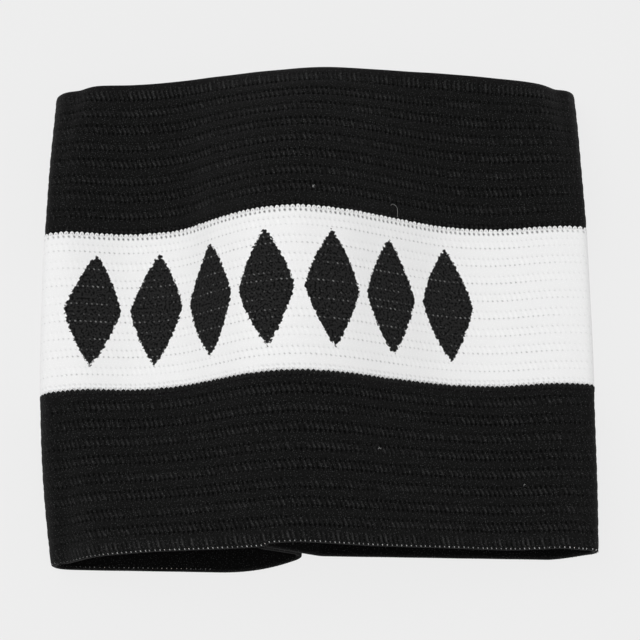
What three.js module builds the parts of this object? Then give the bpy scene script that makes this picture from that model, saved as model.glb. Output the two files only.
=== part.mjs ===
// Striped knitted arm band, lying on its back.
//
// One strip of ribbed elastic knit, three stripes wide, is closed to a tube by a plain seam. The tube
// rests on its back wall, its axis runs along Y and its front wall faces up. The two cut ends are sewn
// face to face, so a flap of two layers stands inside the tube and leans to the left.
// Millimetres, +Z up, the ground at z = 0.
import * as THREE from 'three';

// Driving dimensions of the knit
const CLOTH_THICKNESS = 1.4;
const RIB_PITCH = 3.7;
const RIBS_PER_STRIPE = 9;
const GROOVE_WIDTH = 1.3;
const GROOVE_DEPTH = 0.35;
const TOP_EDGE_RIB = 2.5;
const BOTTOM_EDGE_RIB = 4.1;

// Driving dimensions of the tube as it lies
const FLAT_WIDTH = 110;
const CREST_HEIGHT = 30;
const LEFT_DROP = 3.6;
const DROP_RETURN = 17;

// Driving dimensions of the seam
const SEAM_OFFSET = -5.2;
const FLAP_LENGTH = 9.5;
const FLAP_LEAN = THREE.MathUtils.degToRad(38);
const LAYER_GAP = 0.3;
const STRIPE_GAP = 0.3;
const LEFT_TURN_CLEARANCE = 0.25;
const RIGHT_TURN_RADIUS = 2.5;

// How far round each folded side the cloth follows its arc
const SIDE_WRAP = THREE.MathUtils.degToRad(160);

// Shape of the mesh, in steps
const STEP_LENGTH = 6;
const GROUND_STEPS = 2;
const SIDE_STEPS = 4;
const TURN_STEPS = 3;
const TANGENT_STEP = 1e-4;
const INNER_ROWS = 4;

// How near the ground the middle of the cloth is, beyond half its thickness, where it lies on it
const GROUND_TOLERANCE = 0.07;

const BLACK_KNIT = { color: 0x1b1b1b, roughness: 0.92, metalness: 0 };
const WHITE_KNIT = { color: 0xeeeeee, roughness: 0.9, metalness: 0 };

const halfCloth = CLOTH_THICKNESS / 2;
const leftTurnRadius = halfCloth + LEFT_TURN_CLEARANCE;
const halfWidth = FLAT_WIDTH / 2;
const innerRibs = Array.from({ length: RIBS_PER_STRIPE - 1 }, () => RIB_PITCH);

// Stripes from the bottom edge up, with the widths of their ribs and the edge that is free
const STRIPES = [
  { name: 'lower_stripe', finish: BLACK_KNIT, ribs: [BOTTOM_EDGE_RIB, ...innerRibs], freeEdge: 'low' },
  { name: 'centre_stripe', finish: WHITE_KNIT, ribs: [RIB_PITCH, ...innerRibs], freeEdge: 'none' },
  { name: 'upper_stripe', finish: BLACK_KNIT, ribs: [...innerRibs, TOP_EDGE_RIB], freeEdge: 'high' },
];
const stripeWidths = STRIPES.map(({ ribs }) => ribs.reduce((sum, rib) => sum + rib, 0));
const bandWidth = stripeWidths.reduce((sum, width) => sum + width, 0);

// The four stations across the band where its section is known, as shares of the band's width
const lowerJoin = stripeWidths[0] / bandWidth;
const upperJoin = 1 - stripeWidths[2] / bandWidth;
const STATIONS = [0, lowerJoin, upperJoin, 1];

// Folds of the front wall from right to left, at the stations from the bottom edge up.
// across: share of half the flat width; height: middle of the cloth as a share of the crest's height
const FRONT_FOLDS = [
  { fold: 'right shoulder', across: [0.88, 0.87, 0.87, 0.83], height: [0.425, 0.435, 0.470, 0.372] },
  { fold: 'right trough', across: [0.70, 0.65, 0.65, 0.66], height: [0.400, 0.375, 0.415, 0.485] },
  { fold: 'right foot', across: [0.47, 0.47, 0.47, 0.47], height: [0.490, 0.435, 0.480, 0.580] },
  { fold: 'right flank', across: [0.23, 0.24, 0.24, 0.26], height: [0.585, 0.630, 0.725, 0.665] },
  { fold: 'right brow', across: [0.08, 0.08, 0.08, 0.12], height: [0.655, 0.795, 0.905, 0.720] },
  { fold: 'crest', across: [-0.09, -0.08, -0.09, 0.00], height: [0.725, 0.875, 1.000, 0.745] },
  { fold: 'left brow', across: [-0.24, -0.24, -0.24, -0.18], height: [0.655, 0.815, 0.930, 0.695] },
  { fold: 'left flank', across: [-0.36, -0.37, -0.37, -0.38], height: [0.610, 0.665, 0.755, 0.600] },
  { fold: 'left foot', across: [-0.50, -0.51, -0.51, -0.54], height: [0.560, 0.510, 0.520, 0.510] },
  { fold: 'left trough', across: [-0.64, -0.68, -0.71, -0.70], height: [0.510, 0.435, 0.435, 0.460] },
  { fold: 'left shoulder', across: [-0.81, -0.87, -0.93, -0.85], height: [0.400, 0.465, 0.515, 0.450] },
];

// The two folded sides: where the fold turns, how round it is, and where the back wall meets the ground.
// across, radius and heel: shares of half the flat width; height: share of the crest's height
const SIDE_FOLDS = {
  right: {
    across: [1.002, 1.000, 0.985, 0.967],
    height: [0.280, 0.345, 0.400, 0.133],
    radius: [0.050, 0.036, 0.030, 0.070],
    heel: [0.84, 0.74, 0.68, 0.80],
  },
  left: {
    across: [-0.974, -1.022, -1.016, -1.000],
    height: [0.125, 0.290, 0.425, 0.215],
    radius: [0.050, 0.075, 0.044, 0.090],
    heel: [-0.80, -0.76, -0.68, -0.80],
  },
};

/** Value at a share of the band's width, on the cubic through the values at the four stations. */
function acrossBand(values, share) {
  return values.reduce((sum, value, i) => {
    const weight = STATIONS.reduce(
      (product, station, k) => (k === i ? product : (product * (share - station)) / (STATIONS[i] - station)),
      1,
    );
    return sum + value * weight;
  }, 0);
}

/** Points of an arc in the section plane, from one angle to another. */
function arcPoints(centreX, centreZ, radius, from, to, steps) {
  return Array.from({ length: steps + 1 }, (_, i) => {
    const angle = from + ((to - from) * i) / steps;
    return new THREE.Vector3(centreX + radius * Math.cos(angle), 0, centreZ + radius * Math.sin(angle));
  });
}

/** Points of a folded side. The right one runs from the back wall up, the left one from the front down. */
function sidePoints(side, share, outward) {
  const radius = acrossBand(side.radius, share) * halfWidth;
  const tipX = acrossBand(side.across, share) * halfWidth;
  const tipZ = acrossBand(side.height, share) * CREST_HEIGHT;
  const start = outward > 0 ? Math.PI / 2 - SIDE_WRAP : Math.PI / 2;
  return arcPoints(tipX - outward * radius, tipZ, radius, start, start + SIDE_WRAP, SIDE_STEPS);
}

/**
 * The seam's flap in the section plane. The left layer turns back over the left wall and climbs; the
 * right layer climbs beside it at the layers' distance. Each list runs from the wall to the free end.
 */
function flapPoints() {
  const climb = new THREE.Vector3(-Math.cos(FLAP_LEAN), 0, Math.sin(FLAP_LEAN));
  const aside = new THREE.Vector3(Math.sin(FLAP_LEAN), 0, Math.cos(FLAP_LEAN));
  const turnEnd = Math.PI / 2 - FLAP_LEAN;
  const left = arcPoints(
    SEAM_OFFSET, halfCloth + leftTurnRadius, leftTurnRadius, -Math.PI / 2, turnEnd, TURN_STEPS,
  );
  const leftFoot = left[left.length - 1];
  const leftEnd = leftFoot.clone().addScaledVector(climb, FLAP_LENGTH);
  left.push(leftFoot.clone().addScaledVector(climb, FLAP_LENGTH / 2), leftEnd);

  const distance = CLOTH_THICKNESS + LAYER_GAP;
  const beside = leftFoot.clone().addScaledVector(aside, distance);
  const rightEnd = leftEnd.clone().addScaledVector(aside, distance);
  const groundX = beside.x + (beside.z - halfCloth) / Math.tan(FLAP_LEAN);
  const turnLength = RIGHT_TURN_RADIUS * Math.tan(FLAP_LEAN / 2);
  const right = arcPoints(
    groundX + turnLength, halfCloth + RIGHT_TURN_RADIUS, RIGHT_TURN_RADIUS,
    -Math.PI / 2, -Math.PI / 2 - FLAP_LEAN, TURN_STEPS,
  );
  const middle = right[right.length - 1].clone().lerp(rightEnd, 1 / 2);
  right.push(middle, rightEnd);
  return { left, right };
}

const flap = flapPoints();

/** Length of the flap's right layer, from the wall to its free end. */
function rightLayerLength() {
  return flap.right.slice(1).reduce((sum, point, i) => sum + point.distanceTo(flap.right[i]), 0);
}

/** Points on the middle of the cloth at a share of the band's width, from flap end to flap end. */
function sectionPoints(share) {
  const ground = (x) => new THREE.Vector3(x, 0, halfCloth);
  const heelRight = acrossBand(SIDE_FOLDS.right.heel, share) * halfWidth;
  const heelLeft = acrossBand(SIDE_FOLDS.left.heel, share) * halfWidth;
  const front = FRONT_FOLDS.map(
    ({ across, height }) =>
      new THREE.Vector3(acrossBand(across, share) * halfWidth, 0, acrossBand(height, share) * CREST_HEIGHT),
  );
  return [
    ...[...flap.right].reverse(),
    ground(heelRight / 2),
    ground(heelRight),
    ...sidePoints(SIDE_FOLDS.right, share, 1),
    ...front,
    ...sidePoints(SIDE_FOLDS.left, share, -1),
    ground(heelLeft),
    ground(heelLeft / 2),
    ...flap.left,
  ];
}

/** Places of the mesh's columns round the section, from the spacing of its points half way up the band. */
function columnPlaces() {
  const points = sectionPoints(1 / 2);
  const onGround = (point) => Math.abs(point.z - halfCloth) < GROUND_TOLERANCE;
  const places = [0];
  points.slice(1).forEach((point, i) => {
    const even = Math.ceil(point.distanceTo(points[i]) / STEP_LENGTH);
    const steps = onGround(point) && onGround(points[i]) ? Math.min(GROUND_STEPS, even) : even;
    for (let k = 1; k <= steps; k += 1) places.push((i + k / steps) / (points.length - 1));
  });
  return places;
}

const columns = columnPlaces();

/** Point of the curve, kept on or above the ground. */
function pointOnCurve(curve, place) {
  const point = curve.getPoint(THREE.MathUtils.clamp(place, 0, 1));
  point.z = Math.max(point.z, halfCloth);
  return point;
}

/** The cloth at a share of the band's width: for each column its middle point and its outward direction. */
function section(share) {
  const curve = new THREE.CatmullRomCurve3(sectionPoints(share), false, 'centripetal');
  const cloth = columns.map((place) => {
    const along = pointOnCurve(curve, place + TANGENT_STEP).sub(pointOnCurve(curve, place - TANGENT_STEP));
    return { point: pointOnCurve(curve, place), out: new THREE.Vector3(along.z, 0, -along.x).normalize() };
  });
  const lengths = [0];
  cloth.slice(1).forEach(({ point }, i) => lengths.push(lengths[i] + point.distanceTo(cloth[i].point)));
  const start = rightLayerLength();
  const end = lengths[lengths.length - 1] - FLAP_LENGTH;
  cloth.forEach(({ point }, i) => {
    const grown = THREE.MathUtils.clamp((lengths[i] - start) / (end - start), 0, 1);
    const free = THREE.MathUtils.clamp((end - lengths[i]) / DROP_RETURN, 0, 1);
    const held = 1 - (1 - free) ** 2;
    point.y = (share - 1 / 2) * bandWidth - LEFT_DROP * grown * held;
  });
  return cloth;
}

/** Rows of a stripe's outer face, from its low edge up: height on the band and depth below the crests. */
function ribRows({ ribs, freeEdge }, low) {
  const rows = freeEdge === 'low' ? [] : [{ at: low, depth: GROOVE_DEPTH }];
  let edge = low;
  ribs.forEach((rib, i) => {
    const lowEdge = i === 0 && freeEdge === 'low';
    const highEdge = i === ribs.length - 1 && freeEdge === 'high';
    rows.push({ at: edge + (lowEdge ? 0 : GROOVE_WIDTH / 2), depth: 0 });
    edge += rib;
    rows.push({ at: edge - (highEdge ? 0 : GROOVE_WIDTH / 2), depth: 0 });
    if (!highEdge) rows.push({ at: edge, depth: GROOVE_DEPTH });
  });
  return rows;
}

/** One closed solid of a stripe: ribbed outer face, plain inner face, two edges and two cut ends. */
function stripeGeometry(stripe, low, width) {
  const start = low + (stripe.freeEdge === 'low' ? 0 : STRIPE_GAP / 2);
  const end = low + width - (stripe.freeEdge === 'high' ? 0 : STRIPE_GAP / 2);
  const outer = ribRows(stripe, low).map(({ at, depth }) => ({
    at: THREE.MathUtils.clamp(at, start, end),
    offset: halfCloth - depth,
  }));
  const inner = Array.from({ length: INNER_ROWS }, (_, i) => ({
    at: THREE.MathUtils.lerp(end, start, i / (INNER_ROWS - 1)),
    offset: -halfCloth,
  }));
  const rim = [...outer, ...inner];
  const positions = [];
  rim.forEach(({ at, offset }) => {
    section(at / bandWidth).forEach(({ point, out }) => {
      positions.push(...point.addScaledVector(out, offset).toArray());
    });
  });

  const triangles = [];
  const at = (row, column) => (row % rim.length) * columns.length + column;
  rim.forEach((_, row) => {
    for (let column = 0; column < columns.length - 1; column += 1) {
      const [a, b] = [at(row, column), at(row, column + 1)];
      const [c, d] = [at(row + 1, column), at(row + 1, column + 1)];
      triangles.push(a, c, b, b, c, d);
    }
  });
  const face = THREE.ShapeUtils.triangulateShape(rim.map((row) => new THREE.Vector2(row.at, row.offset)), []);
  const last = columns.length - 1;
  face.forEach(([a, b, c]) => {
    triangles.push(at(a, 0), at(b, 0), at(c, 0));
    triangles.push(at(a, last), at(c, last), at(b, last));
  });

  const geometry = new THREE.BufferGeometry();
  geometry.setAttribute('position', new THREE.Float32BufferAttribute(positions, 3));
  geometry.setIndex(triangles);
  geometry.computeVertexNormals();
  return geometry;
}

const group = new THREE.Group();
let low = 0;
STRIPES.forEach((stripe, i) => {
  const geometry = stripeGeometry(stripe, low, stripeWidths[i]);
  const mesh = new THREE.Mesh(geometry, new THREE.MeshStandardMaterial(stripe.finish));
  mesh.name = stripe.name;
  group.add(mesh);
  low += stripeWidths[i];
});

// The origin is on the ground under the middle of the band's box
const box = new THREE.Box3().setFromObject(group);
const middle = box.getCenter(new THREE.Vector3());
group.position.set(-middle.x, -middle.y, -box.min.z);

export default group;
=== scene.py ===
"""Dressed model of a striped captain's armband of ribbed knitted elastic, laid on its back.

The cloth is one knitted strip, closed to a tube by a plain seam. Its section at four stations across the
band repeats the part's own named sizes and fold tables, and everything on the cloth is placed in the
cloth's own coordinates: stitches round the tube and millimetres up the band.
"""
import logging
import math
from collections.abc import Sequence
from dataclasses import dataclass, field, replace
from enum import Enum

import bpy
import numpy as np
from bpy.types import Material, Node, NodeSocket, NodeTree, Object
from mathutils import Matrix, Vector
from numpy import ndarray as Array


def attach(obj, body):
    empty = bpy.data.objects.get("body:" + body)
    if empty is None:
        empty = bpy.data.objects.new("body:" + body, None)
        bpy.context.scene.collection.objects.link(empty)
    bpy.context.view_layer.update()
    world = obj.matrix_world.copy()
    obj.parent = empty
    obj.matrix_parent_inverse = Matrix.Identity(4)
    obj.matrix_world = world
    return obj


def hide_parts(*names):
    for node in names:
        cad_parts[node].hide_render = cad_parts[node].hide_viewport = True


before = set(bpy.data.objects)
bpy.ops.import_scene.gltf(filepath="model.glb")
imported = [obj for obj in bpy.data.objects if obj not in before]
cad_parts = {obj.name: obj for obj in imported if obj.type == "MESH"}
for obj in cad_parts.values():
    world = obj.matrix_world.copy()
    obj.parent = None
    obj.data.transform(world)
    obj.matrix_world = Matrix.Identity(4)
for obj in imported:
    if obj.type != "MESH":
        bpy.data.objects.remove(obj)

LOG = logging.getLogger("armband")
MM = 0.001
BODY = "root"


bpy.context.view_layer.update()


def linear(colour: str) -> tuple[float, float, float, float]:
    """Turn an sRGB hex colour to linear RGBA.

    Args:
        colour: Six hex digits, with or without a leading hash.

    Returns:
        Linear red, green and blue, and an alpha of one.
    """
    digits = colour.lstrip("#")
    channels = [int(digits[i : i + 2], 16) / 255 for i in (0, 2, 4)]
    red, green, blue = (c / 12.92 if c <= 0.04045 else ((c + 0.055) / 1.055) ** 2.4 for c in channels)
    return (red, green, blue, 1.0)


# The shape of the tube as it lies


@dataclass(frozen=True)
class Fold:
    """One fold of the front wall, at the four stations from the bottom edge up.

    Attributes:
        across: Place as a share of half the flat width.
        height: Middle of the cloth as a share of the crest's height.
    """

    across: tuple[float, ...]
    height: tuple[float, ...]


@dataclass(frozen=True)
class SideFold:
    """One folded side at the four stations, in shares of half the flat width and of the crest's height."""

    across: tuple[float, ...]
    height: tuple[float, ...]
    radius: tuple[float, ...]
    heel: tuple[float, ...]


FRONT_FOLDS = {
    "right shoulder": Fold((0.88, 0.87, 0.87, 0.83), (0.425, 0.435, 0.470, 0.372)),
    "right trough": Fold((0.70, 0.65, 0.65, 0.66), (0.400, 0.375, 0.415, 0.485)),
    "right foot": Fold((0.47, 0.47, 0.47, 0.47), (0.490, 0.435, 0.480, 0.580)),
    "right flank": Fold((0.23, 0.24, 0.24, 0.26), (0.585, 0.630, 0.725, 0.665)),
    "right brow": Fold((0.08, 0.08, 0.08, 0.12), (0.655, 0.795, 0.905, 0.720)),
    "crest": Fold((-0.09, -0.08, -0.09, 0.00), (0.725, 0.875, 1.000, 0.745)),
    "left brow": Fold((-0.24, -0.24, -0.24, -0.18), (0.655, 0.815, 0.930, 0.695)),
    "left flank": Fold((-0.36, -0.37, -0.37, -0.38), (0.610, 0.665, 0.755, 0.600)),
    "left foot": Fold((-0.50, -0.51, -0.51, -0.54), (0.560, 0.510, 0.520, 0.510)),
    "left trough": Fold((-0.64, -0.68, -0.71, -0.70), (0.510, 0.435, 0.435, 0.460)),
    "left shoulder": Fold((-0.81, -0.87, -0.93, -0.85), (0.400, 0.465, 0.515, 0.450)),
}
RIGHT_SIDE = SideFold(
    across=(1.002, 1.000, 0.985, 0.967),
    height=(0.280, 0.345, 0.400, 0.133),
    radius=(0.050, 0.036, 0.030, 0.070),
    heel=(0.84, 0.74, 0.68, 0.80),
)
LEFT_SIDE = SideFold(
    across=(-0.974, -1.022, -1.016, -1.000),
    height=(0.125, 0.290, 0.425, 0.215),
    radius=(0.050, 0.075, 0.044, 0.090),
    heel=(-0.80, -0.76, -0.68, -0.80),
)


@dataclass(frozen=True)
class Knit:
    """Sizes of the ribbed elastic in millimetres, and the stitches where the tube is folded."""

    thickness: float = 1.4
    rib_pitch: float = 3.7
    ribs_per_stripe: int = 9
    top_edge_rib: float = 2.5
    bottom_edge_rib: float = 4.1
    stitch: float = 1.0
    stitches_round: int = 230
    right_fold: float = 57.7
    left_fold: float = 176.2

    @property
    def half(self) -> float:
        """Half the cloth's thickness."""
        return self.thickness / 2

    @property
    def lower_join(self) -> float:
        """Height on the band where the lower stripe meets the centre stripe."""
        return (self.ribs_per_stripe - 1) * self.rib_pitch + self.bottom_edge_rib

    @property
    def upper_join(self) -> float:
        """Height on the band where the centre stripe meets the upper stripe."""
        return self.lower_join + self.ribs_per_stripe * self.rib_pitch

    @property
    def width(self) -> float:
        """Width of the whole band."""
        return self.upper_join + (self.ribs_per_stripe - 1) * self.rib_pitch + self.top_edge_rib


@dataclass(frozen=True)
class TubeForm:
    """The tube's section in the plane across its axis, from one end of the seam's flap to the other.

    Lengths are millimetres, x runs to the right and z up from the ground.
    """

    knit: Knit
    flat_width: float = 110.0
    crest_height: float = 30.0
    left_drop: float = 3.6
    drop_return: float = 17.0
    seam_offset: float = -5.2
    flap_length: float = 9.5
    flap_lean: float = math.radians(38)
    layer_gap: float = 0.3
    turn_clearance: float = 0.25
    right_turn_radius: float = 2.5
    side_wrap: float = math.radians(160)
    side_steps: int = 4
    turn_steps: int = 3
    segment_samples: int = 14

    def across_band(self, values: Sequence[float], share: float) -> float:
        """Return the value at a share of the band's width, on the cubic through four stations."""
        width = self.knit.width
        stations = (0.0, self.knit.lower_join / width, self.knit.upper_join / width, 1.0)
        total = 0.0
        for i, value in enumerate(values):
            others = [s for k, s in enumerate(stations) if k != i]
            total += value * math.prod((share - s) / (stations[i] - s) for s in others)
        return total

    @staticmethod
    def arc(x: float, z: float, radius: float, start: float, end: float, steps: int) -> Array:
        """Return points of an arc about (x, z), from one angle to another."""
        angles = np.linspace(start, end, steps + 1)
        return np.stack([x + radius * np.cos(angles), z + radius * np.sin(angles)], 1)

    def flap(self) -> tuple[Array, Array]:
        """Return the left and the right layer of the seam's flap, each from the wall to its free end."""
        half = self.knit.half
        climb = np.array([-math.cos(self.flap_lean), math.sin(self.flap_lean)])
        aside = np.array([math.sin(self.flap_lean), math.cos(self.flap_lean)])
        radius = half + self.turn_clearance
        turned = math.pi / 2 - self.flap_lean
        turn = self.arc(self.seam_offset, half + radius, radius, -math.pi / 2, turned, self.turn_steps)
        foot = turn[-1]
        left = np.vstack([turn, foot + climb * self.flap_length / 2, foot + climb * self.flap_length])
        distance = self.knit.thickness + self.layer_gap
        beside = foot + aside * distance
        right_end = left[-1] + aside * distance
        ground_x = beside[0] + (beside[1] - half) / math.tan(self.flap_lean)
        turn_length = self.right_turn_radius * math.tan(self.flap_lean / 2)
        bend = self.arc(
            ground_x + turn_length, half + self.right_turn_radius, self.right_turn_radius,
            -math.pi / 2, -math.pi / 2 - self.flap_lean, self.turn_steps,
        )
        right = np.vstack([bend, (bend[-1] + right_end) / 2, right_end])
        return left, right

    def side(self, fold: SideFold, share: float, outward: int) -> Array:
        """Return the points of a folded side: the right one upwards, the left one downwards."""
        half_width = self.flat_width / 2
        radius = self.across_band(fold.radius, share) * half_width
        tip_x = self.across_band(fold.across, share) * half_width
        tip_z = self.across_band(fold.height, share) * self.crest_height
        start = math.pi / 2 - self.side_wrap if outward > 0 else math.pi / 2
        end = start + self.side_wrap
        return self.arc(tip_x - outward * radius, tip_z, radius, start, end, self.side_steps)

    def control_points(self, share: float) -> Array:
        """Return the section's points on the middle of the cloth at a share of the band's width."""
        half_width, half = self.flat_width / 2, self.knit.half
        left_flap, right_flap = self.flap()
        right_heel = self.across_band(RIGHT_SIDE.heel, share) * half_width
        left_heel = self.across_band(LEFT_SIDE.heel, share) * half_width
        sizes = np.array((half_width, self.crest_height))
        front = [
            [self.across_band(values, share) for values in (fold.across, fold.height)] * sizes
            for fold in FRONT_FOLDS.values()
        ]
        return np.vstack([
            right_flap[::-1],
            [(right_heel / 2, half), (right_heel, half)],
            self.side(RIGHT_SIDE, share, 1),
            front,
            self.side(LEFT_SIDE, share, -1),
            [(left_heel, half), (left_heel / 2, half)],
            left_flap,
        ])

    def section(self, share: float) -> tuple[Array, Array]:
        """Draw the section as a centripetal curve through its points.

        Args:
            share: Place up the band as a share of its width.

        Returns:
            Points of the middle line, and the length along it at each point.
        """
        points = self.control_points(share)
        padded = np.vstack([2 * points[0] - points[1], points, 2 * points[-1] - points[-2]])
        p0, p1, p2, p3 = (padded[i : len(padded) - 3 + i] for i in range(4))
        pairs = ((p0, p1), (p1, p2), (p2, p3))
        d0, d1, d2 = (np.sqrt(np.linalg.norm(b - a, axis=1))[:, None] for a, b in pairs)
        m1 = ((p1 - p0) / d0 - (p2 - p0) / (d0 + d1) + (p2 - p1) / d1) * d1
        m2 = ((p2 - p1) / d1 - (p3 - p1) / (d1 + d2) + (p3 - p2) / d2) * d1
        t = np.linspace(0, 1, self.segment_samples, endpoint=False)[:, None, None]
        curve = p1 + m1 * t + (3 * (p2 - p1) - 2 * m1 - m2) * t**2 + (2 * (p1 - p2) + m1 + m2) * t**3
        line = np.vstack([curve.transpose(1, 0, 2).reshape(-1, 2), points[-1]])
        line[:, 1] = np.maximum(line[:, 1], self.knit.half)
        lengths = np.concatenate([[0], np.cumsum(np.linalg.norm(np.diff(line, axis=0), axis=1))])
        return line, lengths

    def flap_lengths(self) -> tuple[float, float]:
        """Return how long the flap's left and right layers are, from the wall to the free end."""
        left, right = self.flap()
        return tuple(float(np.linalg.norm(np.diff(layer, axis=0), axis=1).sum()) for layer in (left, right))


class Cloth:
    """The middle surface of the cloth, looked up by stitches round the tube and millimetres up the band.

    Stitch 0 is where the right wall leaves the seam, and the count grows over the right side, the front and
    the left side to the seam again. Negative stitches, and those past the last, are in the flap.
    """

    ROWS = 190
    PER_STITCH = 4

    def __init__(self, form: TubeForm, place: Array) -> None:
        """Sample the surface.

        Args:
            form: The tube's section.
            place: Shift from the section's own place to the frame, in millimetres.
        """
        self.form, self.knit = form, form.knit
        left_flap, right_flap = form.flap_lengths()
        self.first = -right_flap / self.knit.stitch
        self.last = self.knit.stitches_round + left_flap / self.knit.stitch
        count = int((self.last - self.first) * self.PER_STITCH) + 1
        self.stitches = np.linspace(self.first, self.last, count)
        self.heights = np.linspace(0, self.knit.width, self.ROWS)
        self.points = np.empty((self.ROWS, count, 3))
        self.outward = np.empty((self.ROWS, count, 3))
        for row, height in enumerate(self.heights):
            self._sample(row, height, left_flap, right_flap)
        self.points += place

    def _sample(self, row: int, height: float, left_flap: float, right_flap: float) -> None:
        """Fill the row of the surface at a height, with the lengths of the flap's two layers."""
        line, lengths = self.form.section(height / self.knit.width)
        start, end = right_flap, lengths[-1] - left_flap
        round_share = np.clip(self.stitches / self.knit.stitches_round, 0, 1)
        before = np.minimum(self.stitches, 0) * self.knit.stitch
        after = np.maximum(self.stitches - self.knit.stitches_round, 0) * self.knit.stitch
        at = start + (end - start) * round_share + before + after
        x, z = np.interp(at, lengths, line[:, 0]), np.interp(at, lengths, line[:, 1])
        along = np.gradient(line, axis=0)
        tangent = np.stack([np.interp(at, lengths, along[:, k]) for k in (0, 1)], 1)
        tangent /= np.linalg.norm(tangent, axis=1)[:, None]
        turn_end = lengths[-1] - self.form.flap_length
        free = np.clip((turn_end - at) / self.form.drop_return, 0, 1)
        grown = np.clip((at - start) / (turn_end - start), 0, 1)
        drop = self.form.left_drop * grown * (1 - (1 - free) ** 2)
        self.points[row] = np.stack([x, height - self.knit.width / 2 - drop, z], 1)
        self.outward[row] = np.stack([tangent[:, 1], np.zeros_like(x), -tangent[:, 0]], 1)

    def at(self, stitch: Array, height: Array, proud: Array | float) -> Array:
        """Return points on or beside the cloth.

        Args:
            stitch: Places round the tube, in stitches.
            height: Places up the band, in millimetres.
            proud: Distances outward from the middle of the cloth, in millimetres.

        Returns:
            Points in metres, with the shape of the inputs and a last axis of three.
        """
        column = (stitch - self.first) / (self.last - self.first) * (len(self.stitches) - 1)
        row = height / self.knit.width * (self.ROWS - 1)
        c = np.clip(np.floor(column).astype(int), 0, len(self.stitches) - 2)
        r = np.clip(np.floor(row).astype(int), 0, self.ROWS - 2)
        u, v = (column - c)[..., None], (row - r)[..., None]

        def blend(grid: Array) -> Array:
            """Return the grid's value between its four nearest samples."""
            low = grid[r, c] * (1 - u) + grid[r, c + 1] * u
            high = grid[r + 1, c] * (1 - u) + grid[r + 1, c + 1] * u
            return low * (1 - v) + high * v

        outward = blend(self.outward)
        outward /= np.linalg.norm(outward, axis=-1)[..., None]
        return (blend(self.points) + outward * np.asarray(proud)[..., None]) * MM

    def length(self, low: float, high: float) -> float:
        """Return the cloth's mean length from flap end to flap end between two heights, in metres."""
        rows = (self.heights >= low) & (self.heights <= high)
        steps = np.linalg.norm(np.diff(self.points[rows], axis=1), axis=2)
        return float(steps.sum(1).mean()) * MM


# Meshes

# A path that climbs more steeply than this takes its first side from the X axis
STEEP = 0.9


def mesh_object(
    name: str, points: Array, faces: Sequence[Sequence[int]], material: Material
) -> Object:
    """Make an object of points and faces that rides on the part's body.

    Args:
        name: The object's name.
        points: Points in metres.
        faces: Corner indices of each face.
        material: The finish.

    Returns:
        The new object.
    """
    mesh = bpy.data.meshes.new(name)
    mesh.from_pydata(points.reshape(-1, 3).tolist(), [], faces)
    mesh.polygons.foreach_set("use_smooth", [True] * len(mesh.polygons))
    mesh.update()
    mesh.materials.append(material)
    piece = bpy.data.objects.new(name, mesh)
    bpy.context.scene.collection.objects.link(piece)
    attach(piece, BODY)
    LOG.info("%s: %d faces", name, len(mesh.polygons))
    return piece


def tube(
    path: Array, radius: Array | float, sides: int, first: int
) -> tuple[Array, list[list[int]]]:
    """Sweep a round section along a path of points.

    Args:
        path: Points of the middle line.
        radius: Radius, or one for each point.
        sides: Number of sides.
        first: Index that the first new point gets.

    Returns:
        The points and the faces, closed at both ends.
    """
    along = np.gradient(path, axis=0)
    along /= np.linalg.norm(along, axis=1)[:, None]
    side = np.cross(along[0], (0.0, 0.0, 1.0) if abs(along[0][2]) < STEEP else (1.0, 0.0, 0.0))
    turns = np.linspace(0, 2 * math.pi, sides, endpoint=False)[:, None]
    radii = np.broadcast_to(np.asarray(radius, float), (len(path),))
    rings = []
    for point, direction, size in zip(path, along, radii):
        side = side - direction * (side @ direction)
        side /= np.linalg.norm(side)
        rings.append(point + size * (np.cos(turns) * side + np.sin(turns) * np.cross(direction, side)))
    last = first + (len(path) - 1) * sides
    faces = [
        [ring + k, ring + (k + 1) % sides, ring + sides + (k + 1) % sides, ring + sides + k]
        for ring in range(first, last, sides)
        for k in range(sides)
    ]
    faces += [[first + k for k in reversed(range(sides))], [last + k for k in range(sides)]]
    return np.vstack(rings), faces


class Strands:
    """Collects many short strands in one mesh."""

    def __init__(self) -> None:
        """Start with no strand."""
        self.points: list[Array] = []
        self.faces: list[list[int]] = []
        self.count = 0

    def add(self, path: Array, radius: Array | float, sides: int = 5) -> None:
        """Add one strand along a path, in metres."""
        points, faces = tube(path, radius, sides, self.count)
        self.points.append(points)
        self.faces += faces
        self.count += len(points)

    def make(self, name: str, material: Material, slot: str) -> Object:
        """Return the collected strands as one object."""
        return mesh_object(name, np.vstack(self.points), self.faces, material)


# The knitted stripes


class Edge(Enum):
    """How a stripe begins or ends."""

    FREE = "a rounded free edge of the band"
    UNDER = "starts behind the loops of the stripe below"
    OPEN = "ends in loops over the stripe above, which peeps out between their feet"
    CLOSE = "ends in short close loops over the stripe above"


class Mark(Enum):
    """What the stitches of a row do.

    The values are the tone at the stitch's hole and on its loop, and how much deeper the hole is, in
    millimetres. A tone below nought is painted shade and one above it a painted highlight; at the peeks
    the deepest tone is the colour of the dark stripe beneath.
    """

    PLAIN = (0.0, 0.0, 0.015)
    # Painted shade in and round the holes
    HOLES = (-1.3, 0.0, 0.36)
    FAINT = (-0.7, 0.1, 0.22)
    RIM = (-0.75, 0.0, 0.12)
    # Painted highlights on the loops, with a little painted shade at their holes
    LOOPS = (-0.4, 1.1, 0.04)
    HALF = (-0.3, 0.35, 0.04)
    TUFTS = (-0.5, 1.3, 0.05)
    # The dark stripe beneath shows in the peeks, with painted shade round them
    PEEKS = (-1.9, 0.0, 0.42)
    PEEK_RIM = (-0.7, 0.0, 0.25)
    # Painted shade in the first rows beside the loops of the stripe below, fainter in the higher row
    DIMS = (-0.55, -0.25, 0.05)
    JOIN_SHADE = (-1.0, -0.6, 0.05)


HOLE_MARKS = {Mark.HOLES, Mark.FAINT, Mark.DIMS, Mark.JOIN_SHADE}
PEEK_MARKS = {Mark.PEEKS, Mark.PEEK_RIM}


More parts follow.
